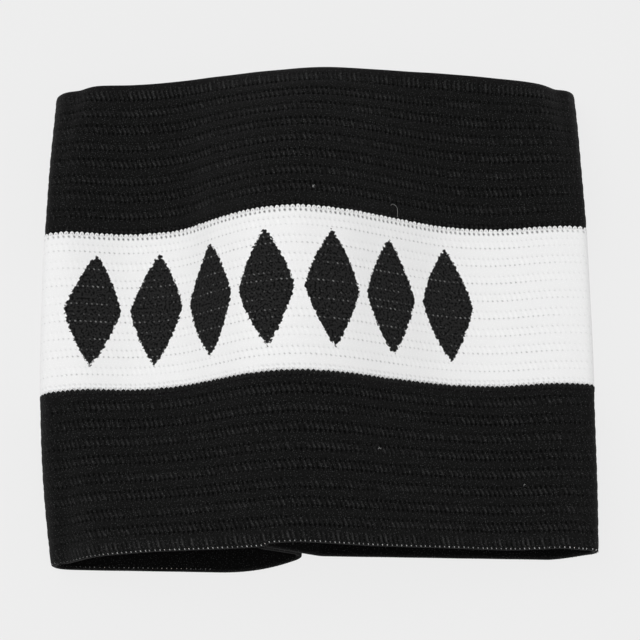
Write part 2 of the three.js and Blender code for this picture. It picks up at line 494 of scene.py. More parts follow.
@dataclass(frozen=True)
class Row:
    """One row of the outer face: its height on the band and depth below a rib's crest, in millimetres.

    Attributes:
        mark: What the stitches do.
        lean: How far the stitches are carried along, in stitches.
    """

    height: float
    depth: float
    mark: Mark
    lean: float


# Rows beside the middle of a narrow rib, and at a stripe's ends: millimetres up, depth and mark
RIB_ROWS = (
    (-1.40, 0.03, Mark.PLAIN), (-0.98, 0.10, Mark.RIM), (-0.70, 0.20, Mark.HOLES), (-0.45, 0.15, Mark.LOOPS),
    (0.00, 0.10, Mark.LOOPS), (0.45, 0.15, Mark.HALF), (0.70, 0.20, Mark.FAINT), (0.98, 0.10, Mark.RIM),
    (1.40, 0.03, Mark.PLAIN),
)
START_ROWS = {
    Edge.FREE: ((0.62, 0.05, Mark.TUFTS), (1.10, 0.02, Mark.TUFTS), (1.60, 0.0, Mark.LOOPS)),
    # A start under the loops of the stripe below has painted shade in its first rows
    Edge.UNDER: (
        (0.18, 0.34, Mark.JOIN_SHADE), (0.50, 0.30, Mark.JOIN_SHADE), (0.85, 0.24, Mark.LOOPS),
        (1.20, 0.14, Mark.DIMS), (1.60, 0.05, Mark.PLAIN),
    ),
}
END_ROWS = {
    Edge.FREE: ((-0.62, 0.05, Mark.PLAIN),),
    Edge.OPEN: (
        (-2.20, 0.03, Mark.PLAIN), (-1.90, 0.06, Mark.PLAIN), (-1.64, 0.16, Mark.PEEK_RIM),
        (-1.40, 0.24, Mark.PEEKS), (-1.16, 0.16, Mark.PEEK_RIM), (-0.92, 0.14, Mark.PLAIN),
    ),
    Edge.CLOSE: ((-1.60, 0.02, Mark.PLAIN), (-1.10, 0.03, Mark.RIM), (-0.60, 0.06, Mark.LOOPS)),
}
# Free room above the last row of a start and below the first row of an end
START_ROOM, END_ROOM = 0.2, 0.15
# Where above the last narrow rib of the free top edge the stitches show as loops
TOP_LOOPS = (0.3, 1.1)
# How far a wide rib's stitches lean, in stitches, and the distance of its holes from the narrow rib's middle
LEAN = 0.45
HOLE_ROW = 0.7
EDGE_ANGLES = np.radians((55, 25, 0, -25, -55))
# A loop of a brighter tone than this stands out of its row
RAISED_TONE = 0.3
# How full the loops of a narrow rib are, in height and in painted highlight, and how many of them are so
FULLNESS = (0.15, 0.55, 1.0)
FULLNESS_SHARES = (0.3, 0.35, 0.35)


@dataclass
class KnittedStripe:
    """One stripe of the band as a closed sheet of ribbed knitting. Lengths are millimetres.

    Attributes:
        low_meet: How far below its lower end the stripe begins.
        high_meet: How far below its upper end it stops.
        relief: How deep the ribs and holes are, as a share of the full depth.
        links: How strongly the stitches show between the rows of holes, in depth and in painted shade.
        spread: How far a hole's painted shade reaches over the third of a stitch beside it.
        pierced: How strongly the holes show, in depth and in painted shade.
        edge_reach: How far a free edge stands past the solid's square one, for the same outline.
        step: Height of the small step in the free lower edge, at step_stitch.
        pull: Share of the relief that is lost round a folded side, within pull_reach stitches.
    """

    cloth: Cloth
    node: str
    slot: str
    low: float
    high: float
    start: Edge
    finish: Edge
    seed: int
    low_meet: float = 0.0
    high_meet: float = 0.0
    relief: float = 1.0
    links: float = 1.0
    spread: float = 0.05
    pierced: float = 1.0
    # Painted shade on the inner face, which lies inside the tube
    inner_shade: float = 0.0
    columns_per_stitch: int = 3
    edge_round: float = 0.5
    edge_reach: float = 0.3
    join_round: float = 0.12
    join_depth: float = 0.34
    inner_inset: float = 0.4
    inner_step: float = 1.85
    inner_depth: float = 0.12
    waviness: float = 0.05
    wave_count: int = 9
    step: float = 0.26
    step_stitch: float = 129.6
    step_ramp: float = 0.6
    step_reach: float = 22.0
    step_rise: float = 3.0
    pull: float = 0.6
    pull_reach: float = 6.0
    loop_rise: float = 0.05

    def grooves(self) -> list[float]:
        """Return the heights of the narrow ribs between the wide ones."""
        knit = self.cloth.knit
        first = self.low + (knit.bottom_edge_rib if self.start is Edge.FREE else knit.rib_pitch)
        return [first + k * knit.rib_pitch for k in range(knit.ribs_per_stripe - 1)]

    def carried(self, at: float) -> float:
        """Return how far the stitches of a row beside a narrow rib are carried along, in stitches."""
        half_pitch = self.cloth.knit.rib_pitch / 2
        reach = min(abs(at) / HOLE_ROW, (half_pitch - abs(at)) / (half_pitch - HOLE_ROW))
        return LEAN * (0.5 + math.copysign(0.5, at) * reach)

    def outer_rows(self) -> list[Row]:
        """Return the rows of the outer face, from the lower end up."""
        half_pitch, grooves = self.cloth.knit.rib_pitch / 2, self.grooves()
        ribs = [Row(grooves[0] - half_pitch, 0.0, Mark.PLAIN, LEAN / 2)]
        for groove in grooves:
            ribs += [Row(groove + at, depth, mark, self.carried(at)) for at, depth, mark in RIB_ROWS]
            ribs.append(Row(groove + half_pitch, 0.0, Mark.PLAIN, LEAN / 2))
        places = (self.low - self.low_meet, START_ROWS[self.start]), (self.high, END_ROWS[self.finish])
        starts, ends = (
            [Row(base + at, depth, mark, LEAN / 2) for at, depth, mark in rows] for base, rows in places
        )
        low, high = starts[-1].height + START_ROOM, ends[0].height - END_ROOM
        between = [row for row in ribs if low < row.height < high]
        if self.finish is Edge.FREE:
            low, high = (grooves[-1] + at for at in TOP_LOOPS)
            between = [replace(row, mark=Mark.LOOPS) if low < row.height < high else row for row in between]
        return starts + between + ends

    def edge_rows(self, at: float, edge: Edge, upward: int) -> list[tuple[float, float]]:
        """Return (height, proud) of the rows round an end, from the outer face to the inner one.

        Args:
            at: Height of the end.
            edge: How the end is made.
            upward: 1 at the upper end and -1 at the lower one.
        """
        half = self.cloth.knit.half
        if edge is Edge.FREE:
            at, reach, outer = at + upward * self.edge_reach, self.edge_round, half
        else:
            at -= self.high_meet if upward > 0 else self.low_meet
            reach, outer = self.join_round, half - self.join_depth
        return [
            (at - upward * reach * (1 - math.cos(turn)), (outer if turn > 0 else half) * math.sin(turn))
            for turn in EDGE_ANGLES
        ]

    def stitches(self, lean: float) -> Array:
        """Return the places of a row's columns, in stitches, with the flap's two ends kept straight."""
        cloth = self.cloth
        count = int(round((cloth.last - cloth.first) * self.columns_per_stitch)) + 1
        start = math.ceil(cloth.first)
        plain = start + np.arange(count) / self.columns_per_stitch
        plain = plain[plain < cloth.last - 0.5][1:]
        carried = plain + lean * np.clip((plain - start) / 2, 0, 1)
        return np.concatenate([[cloth.first], carried, [cloth.last]])

    def waves(self, stitch: Array, height: Array) -> Array:
        """Return the soft unevenness of the hand-laid cloth, in millimetres."""
        random = np.random.default_rng(self.seed)
        total = np.zeros_like(stitch)
        for _ in range(self.wave_count):
            along, up = random.uniform(-0.7, 0.7), random.uniform(-0.25, 0.25)
            total += np.sin(along * stitch + up * height + random.uniform(0, 2 * math.pi))
        return total * self.waviness / math.sqrt(self.wave_count)

    def stepped(self, stitch: Array, height: Array) -> Array:
        """Return heights with the small step of the free lower edge, which fades upwards."""
        if self.start is not Edge.FREE:
            return height
        off = stitch - self.step_stitch
        side = np.clip(-off / self.step_ramp, -1, 1)
        near = np.cos(np.clip(off / self.step_reach, -1, 1) * math.pi / 2)
        return height + self.step * side * near * np.clip(1 - (height - self.low) / self.step_rise, 0, 1)

    def ring(self) -> Array:
        """Lay the rows round the stripe's section.

        Returns:
            Stitches, heights, distances outward and tones, each with one line for each row.
        """
        half = self.cloth.knit.half
        random = np.random.default_rng(self.seed)
        lines = []
        for row in self.outer_rows():
            stitch = self.stitches(row.lean)
            column = np.arange(len(stitch)) % self.columns_per_stitch
            hole, loop, deeper = row.mark.value
            tight = self.tightness(stitch)
            at_hole = (column == 0) * self.strength(row, stitch, random)
            beside = np.roll(at_hole, -1) * (self.spread if row.mark is Mark.HOLES else 0.0)
            at_loop = (column == 1) * self.fullness(len(stitch), row.height)
            raised = self.loop_rise * (loop > RAISED_TONE) * at_loop
            proud = half - self.relief * tight * (row.depth + deeper * at_hole - raised)
            # The tones paint shade into the holes, a little beside them, and highlights onto the loops
            tones = (hole * (at_hole + beside) + loop * at_loop) * tight
            lines.append((stitch, np.full_like(stitch, row.height), proud, tones))
        top = self.edge_rows(self.high, self.finish, 1)
        bottom = self.edge_rows(self.low, self.start, -1)[::-1]
        count = int((top[-1][0] - bottom[0][0]) / self.inner_step)
        inner = np.linspace(top[-1][0] - self.inner_inset, bottom[0][0] + self.inner_inset, count)
        plain = self.stitches(0.0)
        rest = [(*row, 0.0) for row in top]
        # The inner face carries the painted shade of the inside of the tube
        rest += [(at, -half + self.inner_depth * (k % 2), self.inner_shade) for k, at in enumerate(inner)]
        rest += [(*row, 0.0) for row in bottom]
        lines += [(plain, *(np.full_like(plain, value) for value in row)) for row in rest]
        return np.array(lines).transpose(1, 0, 2)

    def strength(self, row: Row, stitch: Array, random: np.random.Generator) -> Array:
        """Return how strongly each column of a row shows what its stitches do, from 0 to 1."""
        if row.mark in PEEK_MARKS:
            return random.uniform(0.8, 1.0, len(stitch))
        shown = self.pierced if row.mark in HOLE_MARKS else self.links
        return random.uniform(0.55, 1.0, len(stitch)) * self.patchy(stitch, row.height) * shown

    def fullness(self, count: int, height: float) -> Array:
        """Return how full each of a row's loops is, which is alike in the rows of one narrow rib."""
        rib = round((height - self.grooves()[0]) / self.cloth.knit.rib_pitch) + 1
        random = np.random.default_rng((self.seed, rib))
        return random.choice(FULLNESS, count, p=FULLNESS_SHARES) * random.uniform(0.7, 1.1, count)

    def tightness(self, stitch: Array) -> Array:
        """Return how much relief the ribs keep, which is little where the cloth is pulled round a side."""
        folds = (self.cloth.knit.right_fold, self.cloth.knit.left_fold)
        return 1 - self.pull * sum(np.exp(-(((stitch - fold) / self.pull_reach) ** 2)) for fold in folds)

    def patchy(self, stitch: Array, height: float) -> Array:
        """Return how strongly the stitches show along a row, in waves of about 30 and 75 stitches."""
        wave = np.sin(stitch * 0.21 + height * 1.7 + self.seed) + np.sin(stitch * 0.083 - height * 0.9)
        return np.clip(0.8 + 0.25 * wave, 0.3, 1)

    def build(self, material: Material) -> Object:
        """Make the stripe, with its map of stitches and heights and its tones.

        Args:
            material: The knitted finish.

        Returns:
            The stripe's object.
        """
        stitch, height, proud, tone = self.ring()
        points = self.cloth.at(stitch, self.stepped(stitch, height), proud + self.waves(stitch, height))
        grid = np.arange(stitch.size).reshape(stitch.shape)
        above = np.roll(grid, -1, axis=0)
        quads = np.stack([grid[:, :-1], grid[:, 1:], above[:, 1:], above[:, :-1]], -1).reshape(-1, 4)
        faces = quads.tolist() + [grid[::-1, -1].tolist(), grid[:, 0].tolist()]
        piece = mesh_object(f"{self.node}_knit", points, faces, material)
        mesh = piece.data
        marks = mesh.attributes.new("tone", "FLOAT", "POINT")
        marks.data.foreach_set("value", tone.ravel().astype(np.float32))
        corners = np.empty(len(mesh.loops), np.int32)
        mesh.loops.foreach_get("vertex_index", corners)
        places = np.stack([stitch.ravel(), height.ravel()], 1)[corners]
        mesh.uv_layers.new(name="cloth").data.foreach_set("uv", places.astype(np.float32).ravel())
        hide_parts(self.node)
        return piece


# What is worked on the stripes


class LoopShape(Enum):
    """Outline of one loop at a join, as (stitches along, millimetres up, radius in millimetres)."""

    ROUND = (
        (-0.16, -1.12, 0.14), (-0.25, -0.90, 0.20), (-0.22, -0.62, 0.24), (0.0, -0.46, 0.25),
        (0.22, -0.62, 0.24), (0.25, -0.90, 0.20), (0.16, -1.12, 0.14),
    )
    POINTED = (
        (-0.40, -1.10, 0.19), (-0.33, -0.64, 0.21), (-0.17, -0.30, 0.19), (0.0, -0.08, 0.11),
        (0.17, -0.30, 0.19), (0.33, -0.64, 0.21), (0.40, -1.10, 0.19),
    )


@dataclass
class JoinLoops:
    """The row of loops where one stripe's yarn is knitted over the next stripe's."""

    cloth: Cloth
    name: str
    slot: str
    height: float
    shape: LoopShape
    seed: int
    sink: float = 0.12
    waver: float = 0.035

    def build(self, material: Material) -> Object:
        """Return the row of loops as one object, in the yarn's finish."""
        random = np.random.default_rng(self.seed)
        across, rise, radius = np.array(self.shape.value).T
        proud = np.full(len(radius), self.cloth.knit.half - self.sink)
        strands = Strands()
        for stitch in range(math.ceil(self.cloth.first), math.floor(self.cloth.last) - 1):
            shift = random.normal(0, self.waver, 3)
            along = stitch + 0.5 + LEAN / 2 + shift[0] + across * (1 + shift[2])
            strands.add(self.cloth.at(along, self.height + shift[1] + rise, proud), radius * MM)
        return strands.make(self.name, material, self.slot)


# One stitch over the edge: stitches along, radii up, millimetres proud, and its share of the radius
SELVAGE_STITCH = (
    (0.04, 1.5, -0.16, 0.4), (0.02, 0.6, 0.0, 1.0), (-0.02, -0.6, -0.06, 1.0), (-0.04, -1.5, -0.24, 0.4),
)


@dataclass
class LowerSelvage:
    """The thread that closes the free lower edge, seen as one short stitch for each loop.

    Attributes:
        inner_range: Stitches round the tube between which the inner ones show.
        fade: Stitches beside the left fold within which the thread is drawn in, at most to least_drawn.
    """

    cloth: Cloth
    name: str = "lower_selvage_stitches"
    slot: str = "white_knit"
    radius: float = 0.085
    rises: tuple[float, float] = (-0.12, 0.24)
    inner_share: float = 0.8
    inner_range: tuple[float, float] = (62.0, 213.0)
    fade: float = 16.0
    least_drawn: float = 0.25
    waver: float = 0.05
    seed: int = 23

    def build(self, material: Material, stripe: KnittedStripe) -> Object:
        """Return the stitches over the edge of a stripe as one object, in the thread's finish."""
        random = np.random.default_rng(self.seed)
        across, rises, depths, shares = np.array(SELVAGE_STITCH).T
        first, last = self.inner_range
        strands = Strands()
        for stitch in range(1, self.cloth.knit.stitches_round):
            drawn = np.clip(abs(stitch - self.cloth.knit.left_fold) / self.fade, self.least_drawn, 1.0)
            for face, rise, share in zip((1, -1), self.rises, (1.0, self.inner_share)):
                size = random.uniform(0.75, 1.1) * drawn * share * self.radius
                if face < 0 and not first < stitch < last:
                    continue
                along = stitch + 0.5 + across + random.normal(0, self.waver)
                up = stripe.stepped(along, rise + rises * size)
                proud = face * (self.cloth.knit.half + depths)
                strands.add(self.cloth.at(along, up, proud), shares * size * MM)
        return strands.make(self.name, material, self.slot)


# One wrap round both layers' ends: layer (-1 left, 1 right), millimetres in from its end and up, and how
# far it stands beside the layer, as a share
WRAP = (
    (-1, 3.2, 0.0, 1), (-1, 0.2, 0.3, 1), (-1, -0.3, 0.4, 0), (1, -0.3, 0.5, 0), (1, 0.2, 1.0, 1),
    (1, 3.2, 1.2, 1), (1, 0.2, 1.5, 1), (1, -0.3, 1.6, 0), (-1, -0.3, 1.7, 0), (-1, 0.2, 2.1, 1),
)


@dataclass
class FlapSeam:
    """The overlocked raw ends of the strip and the line of stitches that closes the tube."""

    cloth: Cloth
    name: str = "flap_seam_thread"
    slot: str = "black_knit"
    wrap_pitch: float = 2.4
    first_wrap: float = 0.8
    line_depth: float = 6.5
    stitch_length: float = 2.2
    stitch_pitch: float = 1.25
    radius: float = 0.16

    def build(self, material: Material) -> Object:
        """Return the overlock wraps and the closing stitches as one object, in the thread's finish."""
        cloth, strands, width = self.cloth, Strands(), self.cloth.knit.width
        stand = cloth.knit.half + self.radius * 0.6
        ends = {-1: cloth.last, 1: cloth.first}
        wraps = np.arange(self.first_wrap, width - self.wrap_pitch, self.wrap_pitch)
        path = np.array([
            (ends[layer] + layer * inward, wrap + up, -stand * share)
            for wrap in wraps
            for layer, inward, up, share in WRAP
        ])
        strands.add(cloth.at(*path.T), self.radius * MM)
        proud = np.array((-0.6, -stand, -stand, -0.6))
        for start in np.arange(1.0, width - self.stitch_length, self.stitch_length * self.stitch_pitch):
            up = start + np.array((0.0, 0.15, 0.85, 1.0)) * self.stitch_length
            for layer, end in ends.items():
                along = np.full(len(up), end + layer * self.line_depth)
                strands.add(cloth.at(along, up, proud), self.radius * MM)
        return strands.make(self.name, material, self.slot)


@dataclass
class LooseFibres:
    """Bits of lint on the cloth and one stray fibre that stands up from the upper join.

    Attributes:
        tufts: Stitch, height, number of fibres and their length in millimetres, for each tuft.
        stray: Stitches round, millimetres up and millimetres off the cloth's face, along the stray fibre.
    """

    cloth: Cloth
    slot: str = "white_knit"
    tufts: tuple[tuple[float, float, int, float], ...] = (
        (115.8, 70.7, 7, 0.3), (103.7, 19.2, 4, 0.35), (73.7, 12.9, 3, 0.3),
    )
    stray: tuple[tuple[float, float, float], ...] = (
        (98.5, 69.2, -0.1), (98.2, 69.4, 0.3), (97.7, 69.1, 0.5), (97.3, 68.6, 0.5), (97.1, 67.8, 0.3),
        (97.0, 66.9, 0.0),
    )
    lint_radius: float = 0.035
    stray_radius: float = 0.028
    seed: int = 41

    def tuft(self, strands: Strands, stitch: float, height: float, count: int, length: float) -> None:
        """Add a tuft of so many short curled fibres of a length, at a place on the cloth."""
        random = np.random.default_rng(self.seed + int(stitch))
        share = np.linspace(0, 1, 7)
        for _ in range(count):
            turn, bend = random.uniform(0, 2 * math.pi), random.uniform(-2.5, 2.5)
            along = stitch + length * share * np.cos(turn + bend * share)
            up = height + length * share * np.sin(turn + bend * share)
            proud = self.cloth.knit.half + 0.08 + random.uniform(0.05, 0.25) * np.sin(share * math.pi)
            strands.add(self.cloth.at(along, up, proud), self.lint_radius * MM, 4)

    def build(self, material: Material) -> list[Object]:
        """Return the lint and the stray fibre, in the fibres' finish."""
        lint, stray = Strands(), Strands()
        for place in self.tufts:
            self.tuft(lint, *place)
        along, up, off = np.array(self.stray).T
        stray.add(self.cloth.at(along, up, self.cloth.knit.half + off), self.stray_radius * MM)
        return [lint.make("lint", material, self.slot), stray.make("stray_fibre", material, self.slot)]


# Finishes

Inputs = dict[int | str, object]
# Tones of the knit run from minus to plus this
TONE_REACH = 2.0
TONE_STOPS = (-2.0, -1.0, -0.35, 0.0, 1.0, 2.0)


def add(tree: NodeTree, kind: str, inputs: Inputs | None = None, **settings: object) -> Node:
    """Add a shader node with its settings, and give its inputs values or links.

    Args:
        tree: The material's nodes.
        kind: The node's type, without the words that all of them begin with.
        inputs: For each input by name or index a value, an output, or a node whose first output is meant.
        settings: Attributes of the node.

    Returns:
        The new node.
    """
    made = tree.nodes.new("ShaderNode" + kind)
    for key, value in settings.items():
        setattr(made, key, value)
    for key, value in (inputs or {}).items():
        source = value.outputs[0] if isinstance(value, Node) else value
        if isinstance(source, NodeSocket):
            tree.links.new(source, made.inputs[key])
        else:
            made.inputs[key].default_value = source
    return made


def spots(
    tree: NodeTree, place: NodeSocket, scale: float, detail: float, span: tuple[float, float],
    ends: tuple[float, float] = (0.0, 1.0),
) -> Node:
    """Scatter soft spots over the cloth.

    Args:
        tree: The material's nodes.
        place: Stitches and heights as a vector.
        scale: Spots in a stitch.
        detail: How ragged they are.
        span: Noise at which a spot begins and is full.
        ends: Values outside and inside the spots.

    Returns:
        The node that gives the value.
    """
    look_up = {"Vector": place, "Scale": scale, "Detail": detail}
    noise = add(tree, "TexNoise", look_up, noise_dimensions="2D")
    names = ("From Min", "From Max", "To Min", "To Max")
    return add(tree, "MapRange", {"Value": noise, **dict(zip(names, (*span, *ends)))})


def new_material(name: str) -> tuple[Material, NodeTree]:
    """Return an empty node material and its nodes."""
    material = bpy.data.materials.new(name)
    material.use_nodes = True
    material.node_tree.nodes.clear()
    return material, material.node_tree


@dataclass(frozen=True)
class PrintedRow:
    """Screen-printed ink: a row of plain upright lozenges round the front of the centre stripe.

    Places along are stitches, places up are millimetres on the band, and noises are looked up by both.

    Attributes:
        ragged: How far the outline wanders, as a share of a lozenge's half size.
        dense_range: Noise at which the ink begins to be dense and is so.
        bare_range: Noise at which it begins to miss the cloth's dips and does so.
        fleck_tones: Tones at which a dip begins to show through the ink and does so.
    """

    first: float = 79.2
    last: float = 171.2
    count: int = 7
    half_width: float = 5.6
    middle: float = 50.2
    half_height: float = 11.6
    bow: float = 1.22
    ragged: float = 0.12
    ragged_scale: float = 1.5
    blur: float = 0.015
    ink: str = "#262626"
    dense_ink: str = "#0C0C0C"
    dense_scale: float = 2.2
    dense_range: tuple[float, float] = (0.48, 0.6)
    fleck: str = "#7E7E7E"
    bare_scale: float = 0.8
    bare_range: tuple[float, float] = (0.38, 0.56)
    bare_least: float = 0.15
    fleck_tones: tuple[float, float] = (-0.1, -0.5)

    def mask(self, tree: NodeTree, place: NodeSocket) -> Node:
        """Return where the ink lies, from 0 to 1, at a place in stitches and heights."""
        half_row = (self.last - self.first) / 2
        pitch = 2 * half_row / self.count
        parts = add(tree, "SeparateXYZ", {0: place})
        run = add(tree, "Math", {0: parts, 1: self.first}, operation="SUBTRACT")
        cell = add(tree, "Math", {0: run, 1: pitch}, operation="FLOORED_MODULO")
        total = spots(tree, place, self.ragged_scale, 2.0, (0.0, 1.0), (-self.ragged, self.ragged))
        for at, middle, half_size in (
            (cell, pitch / 2, self.half_width), (parts.outputs[1], self.middle, self.half_height),
        ):
            off = add(tree, "Math", {0: at, 1: middle}, operation="SUBTRACT")
            away = add(tree, "Math", {0: off}, operation="ABSOLUTE")
            share = add(tree, "Math", {0: away, 1: half_size}, operation="DIVIDE")
            bowed = add(tree, "Math", {0: share, 1: self.bow}, operation="POWER")
            total = add(tree, "Math", {0: total, 1: bowed}, operation="ADD")
        edge = {"Value": total, "From Min": 1 + self.blur, "From Max": 1 - self.blur}
        inside = add(tree, "MapRange", edge)
        in_row = add(tree, "Math", {0: run, 1: half_row, 2: half_row}, operation="COMPARE")
        return add(tree, "Math", {0: inside, 1: in_row}, operation="MULTIPLY")

    def over(
        self, tree: NodeTree, place: NodeSocket, tone: NodeSocket, cloth_colour: NodeSocket
    ) -> NodeSocket:
        """Lay the ink over the cloth's colour.

        Args:
            tree: The material's nodes.
            place: Stitches and heights as a vector.
            tone: The stitches' tone.
            cloth_colour: The cloth's own colour.

        Returns:
            The printed colour.
        """
        dense = spots(tree, place, self.dense_scale, 2.0, self.dense_range)
        missed = spots(tree, place, self.bare_scale, 0.0, self.bare_range, (self.bare_least, 1.0))
        low, high = self.fleck_tones
        deep = add(tree, "MapRange", {"Value": tone, "From Min": low, "From Max": high})
        showing = add(tree, "Math", {0: deep, 1: missed}, operation="MULTIPLY")
        colour = linear(self.ink)
        for share, spot in ((dense, self.dense_ink), (showing, self.fleck)):
            mixed = {0: share, 6: colour, 7: linear(spot)}
            colour = add(tree, "Mix", mixed, data_type="RGBA").outputs[2]
        printed = {0: self.mask(tree, place), 6: cloth_colour, 7: colour}
        return add(tree, "Mix", printed, data_type="RGBA").outputs[2]


@dataclass(frozen=True)
class KnittedElastic:
    """Warp-knitted polyester over covered rubber: quite matt, with painted shade in its stitch holes and
    painted highlights on its loops.

    Attributes:
        colours: The colour at each of the tone's stops: beneath the cloth, in a hole (painted shade), in
        painted shade, of the yarn, of a loop with a painted highlight and of a fibre with a painted glint.
        fibre_scale: Bundles of fibres in a stitch. Single ones are about 0.02 mm and can't show, so
            bundles of about 0.2 mm stand for them.
        glint_scale: Painted glints, as of loose fibre ends catching the light, in a stitch, drawn at about
            0.2 mm.
    """

    name: str
    colours: tuple[str, ...]
    mottle: float
    sheen: float
    roughness: float = 0.88
    specular: float = 0.06
    fibre_scale: float = 5.0
    fibre_height: float = 0.05
    fibre_strength: float = 0.8
    glint_scale: float = 4.3
    glint_range: tuple[float, float] = (0.71, 0.82)
    glint_tone: float = 1.6

    def build(self, printed: PrintedRow | None = None) -> Material:
        """Return the finish, with any ink that is printed on the cloth."""
        material, tree = new_material(self.name)
        place = add(tree, "UVMap", uv_map="cloth").outputs[0]
        tone = add(tree, "Attribute", attribute_name="tone").outputs["Fac"]
        stretch = (self.fibre_scale, self.fibre_scale / 3, 1.0)
        bundles = add(tree, "Mapping", {"Vector": place, "Scale": stretch})
        look_up = {"Vector": bundles, "Scale": 1.0, "Detail": 2.0}
        fuzz = add(tree, "TexNoise", look_up, noise_dimensions="2D")
        wander = {0: fuzz, 1: self.mottle, 2: -self.mottle / 2}
        uneven = add(tree, "Math", wander, operation="MULTIPLY_ADD")
        # Painted glints: spots where the tone is raised towards a glinting fibre's colour
        glints = spots(tree, place, self.glint_scale, 0.0, self.glint_range, (0.0, self.glint_tone))
        mottled = add(tree, "Math", {0: tone, 1: uneven}, operation="ADD")
        level = add(tree, "Math", {0: mottled, 1: glints}, operation="ADD")
        share = add(tree, "MapRange", {"Value": level, "From Min": -TONE_REACH, "From Max": TONE_REACH})
        ramp = add(tree, "ValToRGB", {0: share})
        elements = ramp.color_ramp.elements
        elements.remove(elements[1])
        elements[0].position, elements[0].color = 0.0, linear(self.colours[0])
        for stop, colour in list(zip(TONE_STOPS, self.colours))[1:]:
            elements.new((stop + TONE_REACH) / (2 * TONE_REACH)).color = linear(colour)
        colour = printed.over(tree, place, tone, ramp.outputs[0]) if printed else ramp
        relief = {"Height": fuzz, "Distance": self.fibre_height * MM, "Strength": self.fibre_strength}
        bump = add(tree, "Bump", relief)
        surface = {
            "Base Color": colour, "Roughness": self.roughness, "Specular IOR Level": self.specular,
            "Sheen Weight": self.sheen, "Sheen Roughness": 0.5, "Normal": bump,
        }
        add(tree, "OutputMaterial", {"Surface": add(tree, "BsdfPrincipled", surface)})
        return material


@dataclass(frozen=True)
class SpunYarn:
    """Spun polyester yarn or thread: softly lit, with a fine twist that shows as light flecks and as dark
    flecks of painted shade between its plies.

    Attributes:
        shaded: Painted shade between its plies.
        twist_scale: Noise that makes plies of about 0.4 mm.
    """

    name: str
    colour: str
    shaded: str
    roughness: float = 0.75
    specular: float = 0.15
    sheen: float = 0.05
    twist_scale: float = 2600.0
    twist_range: tuple[float, float] = (0.35, 0.6)
    twist_height: float = 0.04
    twist_strength: float = 0.6

    def build(self) -> Material:
        """Return the finish."""
        material, tree = new_material(self.name)
        place = add(tree, "TexCoord").outputs["Object"]
        twist = add(tree, "TexNoise", {"Vector": place, "Scale": self.twist_scale, "Detail": 1.0})
        low, high = self.twist_range
        share = add(tree, "MapRange", {"Value": twist, "From Min": low, "From Max": high})
        # Painted shade between the plies, where the twist's noise is low
        mixed = {0: share, 6: linear(self.shaded), 7: linear(self.colour)}
        colour = add(tree, "Mix", mixed, data_type="RGBA")
        relief = {"Height": twist, "Distance": self.twist_height * MM, "Strength": self.twist_strength}
        bump = add(tree, "Bump", relief)
        surface = {
            "Base Color": colour.outputs[2], "Roughness": self.roughness,
            "Specular IOR Level": self.specular, "Sheen Weight": self.sheen, "Normal": bump,
        }
        add(tree, "OutputMaterial", {"Surface": add(tree, "BsdfPrincipled", surface)})
        return material


@dataclass(frozen=True)
class LightBoard:
    """Opal acrylic lit from below: a plain pale floor that keeps shadows faint."""

    name: str = "opal_acrylic_board"
    colour: str = "#404040"
    glow: str = "#FFFFFF"
    glow_strength: float = 0.8
    roughness: float = 0.9
    specular: float = 0.1

    def build(self) -> Material:
        """Return the finish."""
        material, tree = new_material(self.name)
        surface = {
            "Base Color": linear(self.colour), "Roughness": self.roughness,
            "Specular IOR Level": self.specular, "Emission Color": linear(self.glow),
            "Emission Strength": self.glow_strength,
        }
        add(tree, "OutputMaterial", {"Surface": add(tree, "BsdfPrincipled", surface)})
        return material


# Bleached yarn: nearly even, with painted grey shade in its holes
WHITE_KNIT = KnittedElastic(
    "white_knitted_elastic", ("#2A2A2A", "#868686", "#D8D8D8", "#F5F5F5", "#FBFBFB", "#FFFFFF"), 0.1, 0.02
)
# Dyed yarn: painted black shade in its holes, and a little painted highlight on its loops
BLACK_KNIT = KnittedElastic(
    "black_knitted_elastic", ("#000000", "#000000", "#020202", "#111111", "#2A2A2A", "#4C4C4C"), 0.26, 0.04
)
# The yarns of the joins match the stripes that they belong to
WHITE_YARN = SpunYarn("white_polyester_yarn", "#FBFBFB", "#E6E6E6")
BLACK_YARN = SpunYarn("black_polyester_yarn", "#181818", "#101010")
# Thread and lint, greyer than white yarn: painted shade of the dark cloth about them
SELVAGE_THREAD = SpunYarn("white_selvage_thread", "#CCCCCC", "#8C8C8C")
SEAM_THREAD = SpunYarn("black_overlock_thread", "#303030", "#161616")
LINT = SpunYarn("cotton_lint", "#B4B4B4", "#8A8A8A")


# The armband and its stage


